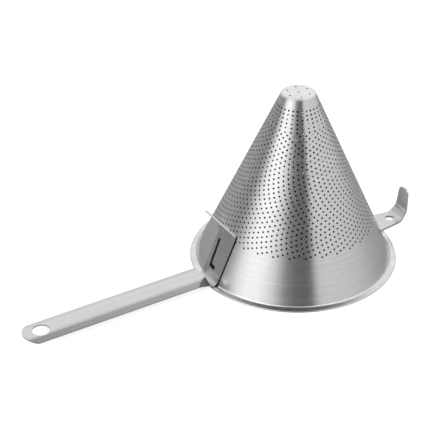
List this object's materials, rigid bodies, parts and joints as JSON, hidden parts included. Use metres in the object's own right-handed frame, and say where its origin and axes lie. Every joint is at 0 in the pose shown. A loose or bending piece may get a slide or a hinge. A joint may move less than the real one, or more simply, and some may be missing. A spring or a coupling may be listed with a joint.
{
  "type": "chinois strainer",
  "caption": "Conical perforated strainer with a flat turned rim, a channel handle with a hanging eye and a bent rest hook opposite it.",
  "frame": {"origin": "on the cone's axis, in the plane of the rim's underside that the strainer stands on", "axes": "+Z towards the cone's tip, -X along the handle, +X towards the rest hook"},
  "size_m": [0.4391, 0.2098, 0.1838],
  "materials": {
    "cone_steel": "stainless steel brushed round the cone",
    "handle_steel": "stainless steel, fine satin brushed along the handle",
    "fitting_steel": "stainless steel, satin"
  },
  "bodies": {
    "root": {"perforated_cone": "cone_steel", "tip_cap": "cone_steel", "handle_bracket": "fitting_steel", "bracket_bar": "fitting_steel", "handle": "handle_steel", "rest_hook": "fitting_steel"}
  },
  "joints": []
}
